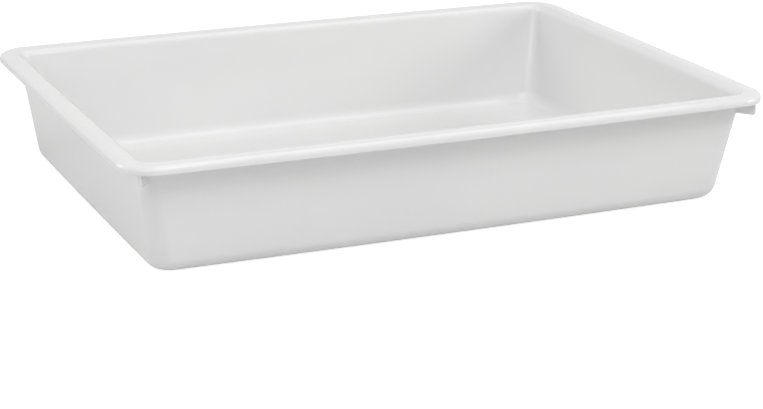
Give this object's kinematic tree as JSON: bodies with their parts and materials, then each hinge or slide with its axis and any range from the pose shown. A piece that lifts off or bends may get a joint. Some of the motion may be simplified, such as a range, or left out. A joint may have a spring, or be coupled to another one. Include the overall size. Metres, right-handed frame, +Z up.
{
  "type": "developing tray",
  "caption": "Deep open rectangular tray moulded in one piece, with a flat floor, outward-leaning walls and a rolled rim with corner gussets, for baths of photographic chemicals.",
  "frame": {"origin": "centre of the tray's underside, at the level it stands on", "axes": "+X along the tray's length, +Y across its width, +Z up out of its open side"},
  "size_m": [0.4, 0.2922, 0.0683],
  "materials": {
    "white_plastic": "glossy white injection-moulded polypropylene, slightly translucent, plain and unprinted"
  },
  "bodies": {
    "root": {"tray": "white_plastic"}
  },
  "joints": []
}
